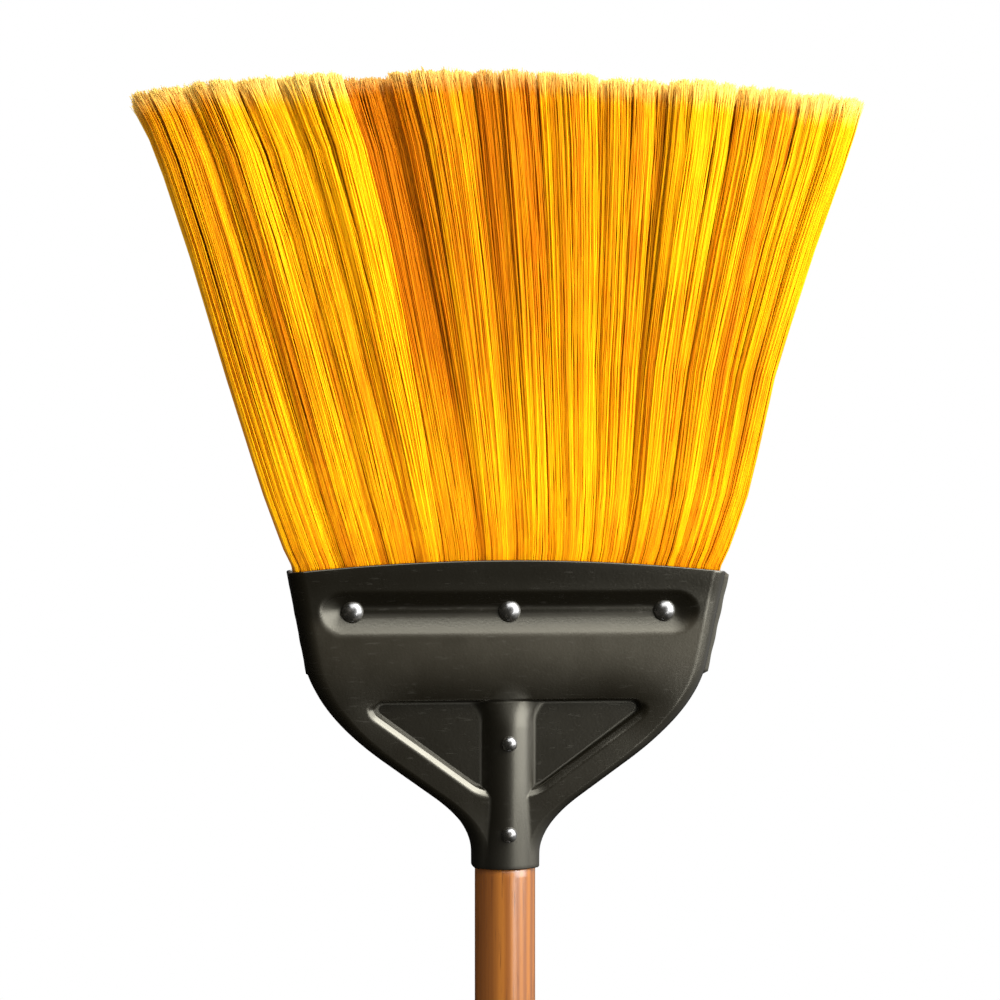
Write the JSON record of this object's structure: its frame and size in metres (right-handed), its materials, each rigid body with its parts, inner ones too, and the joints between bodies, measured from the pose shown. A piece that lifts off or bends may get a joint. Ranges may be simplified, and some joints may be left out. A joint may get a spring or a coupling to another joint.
{
  "type": "upright broom",
  "caption": "Flared upright broom: trimmed yellow bristles clamped and riveted in a pressed black steel cap with a socket ridge, on a round varnished wooden handle.",
  "frame": {"origin": "middle of the handle's rounded free end, at the bottom of the object's box", "axes": "+Z along the handle from its free end to the bristle tips, X across the flare, -Y the front face seen in the picture"},
  "size_m": [0.3032, 0.056, 1.4825],
  "materials": {
    "varnished_wood": "reddish clear-varnished hardwood, satin gloss, long straight grain",
    "black_enamel": "semi-gloss black stoving enamel on pressed steel sheet, slightly dusty, worn on rims",
    "rivet_black": "glossy black enamelled steel, domed heads",
    "fused_roots": "polypropylene melted into a bar, matt and uneven",
    "bristle": "yellow polypropylene filament, satin sheen, flagged pale tips; loose fibre bulk, not solid plastic"
  },
  "bodies": {
    "broom": {"handle": "varnished_wood", "front_shell": "black_enamel", "rear_shell": "black_enamel", "bristle_butt": "fused_roots", "clamp_rivet_left": "rivet_black", "clamp_rivet_middle": "rivet_black", "clamp_rivet_right": "rivet_black", "handle_rivet_lower": "rivet_black", "handle_rivet_upper": "rivet_black"},
    "bristles": {"front_tuft_01": "bristle", "front_tuft_02": "bristle", "front_tuft_03": "bristle", "front_tuft_04": "bristle", "front_tuft_05": "bristle", "front_tuft_06": "bristle", "front_tuft_07": "bristle", "front_tuft_08": "bristle", "front_tuft_09": "bristle", "front_tuft_10": "bristle", "front_tuft_11": "bristle", "front_tuft_12": "bristle", "rear_tuft_01": "bristle", "rear_tuft_02": "bristle", "rear_tuft_03": "bristle", "rear_tuft_04": "bristle", "rear_tuft_05": "bristle", "rear_tuft_06": "bristle", "rear_tuft_07": "bristle", "rear_tuft_08": "bristle", "rear_tuft_09": "bristle", "rear_tuft_10": "bristle", "rear_tuft_11": "bristle", "rear_tuft_12": "bristle"}
  },
  "joints": [
    {"name": "bristle_flex", "type": "hinge", "parent": "broom", "child": "bristles", "pos_m": [0, 0, 1.293], "axis": [1, 0, 0], "range_deg": [-20, 20], "stiffness_Nm_per_rad": 11}
  ]
}
